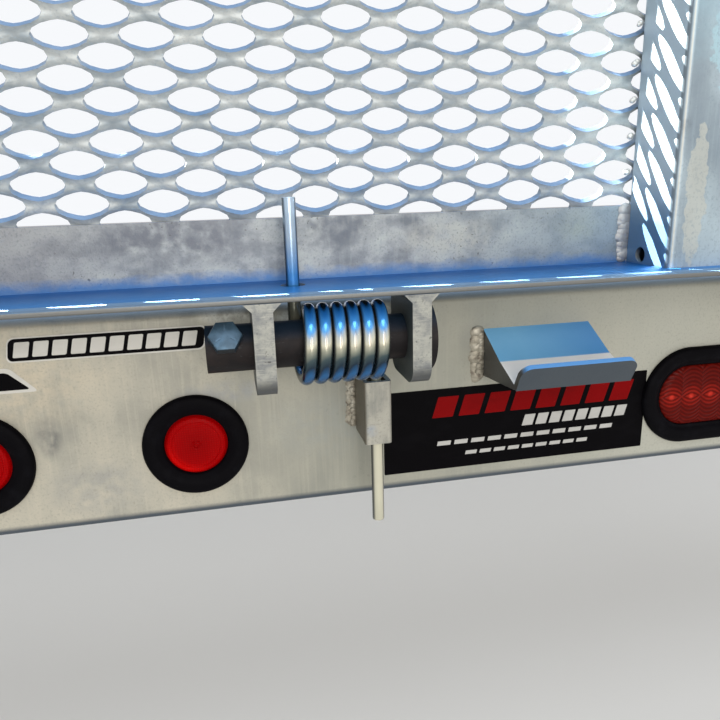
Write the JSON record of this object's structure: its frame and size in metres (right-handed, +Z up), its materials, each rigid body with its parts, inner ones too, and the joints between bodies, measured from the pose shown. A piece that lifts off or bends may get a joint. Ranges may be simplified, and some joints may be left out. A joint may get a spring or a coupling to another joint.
{
  "type": "utility trailer rear sill with ramp gate",
  "caption": "Galvanised trailer rear sill with recessed lamps and a spring assisted expanded mesh ramp gate that hinges down to the rear.",
  "frame": {"origin": "middle of the sill's underside, where the ends of the frame rails carry it", "axes": "+X to the right as seen from behind the trailer, +Y forward into the trailer, +Z up"},
  "size_m": [1.956, 0.127, 1.3898],
  "materials": {
    "galvanised_steel": "hot dip galvanised",
    "galvanised_sheet": "hot dip galvanised, dull, warm grey",
    "galvanised_mesh": "hot dip galvanised",
    "zinc_spring_wire": "bright zinc plated",
    "zinc_fastener": "zinc plated",
    "black_bar": "black oxide",
    "grommet_rubber": "matt",
    "red_lens": "clear red"
  },
  "bodies": {
    "sill": {"rear_sill": "galvanised_sheet", "sill_hinge_lugs": "galvanised_steel", "spring_anchor_left": "galvanised_steel", "spring_anchor_right": "galvanised_steel", "stop_bracket_left": "galvanised_steel", "stop_bracket_right": "galvanised_steel", "marker_grommet_left": "grommet_rubber", "marker_grommet_middle": "grommet_rubber", "marker_grommet_right": "grommet_rubber", "marker_lamp_left": "red_lens", "marker_lamp_middle": "red_lens", "marker_lamp_right": "red_lens", "tail_grommet_left": "grommet_rubber", "tail_grommet_right": "grommet_rubber", "tail_lamp_left": "red_lens", "tail_lamp_right": "red_lens", "coil_spring_left": "zinc_spring_wire", "coil_spring_right": "zinc_spring_wire"},
    "gate": {"gate_bottom_angle": "galvanised_steel", "upright_outer_left": "galvanised_steel", "upright_inner_left": "galvanised_steel", "upright_inner_right": "galvanised_steel", "upright_outer_right": "galvanised_steel", "top_rail": "galvanised_steel", "top_rail_caps": "galvanised_steel", "middle_rails": "galvanised_steel", "mesh_panel_left": "galvanised_mesh", "mesh_panel_middle": "galvanised_mesh", "mesh_panel_right": "galvanised_mesh", "gate_hinge_lugs": "galvanised_steel", "hinge_pins": "zinc_fastener", "spring_lugs_left": "galvanised_steel", "spring_lugs_right": "galvanised_steel", "spring_pin_left": "black_bar", "spring_pin_right": "black_bar", "cross_bolt_left": "zinc_fastener", "cross_bolt_right": "zinc_fastener", "latch_plate_left": "galvanised_steel", "latch_plate_right": "galvanised_steel"}
  },
  "joints": [
    {"name": "gate_hinge", "type": "hinge", "parent": "sill", "child": "gate", "pos_m": [0, -0.0754, 0.1355], "axis": [1, 0, 0], "range_deg": [0, 110], "deforming": ["coil_spring_left", "coil_spring_right"]}
  ]
}
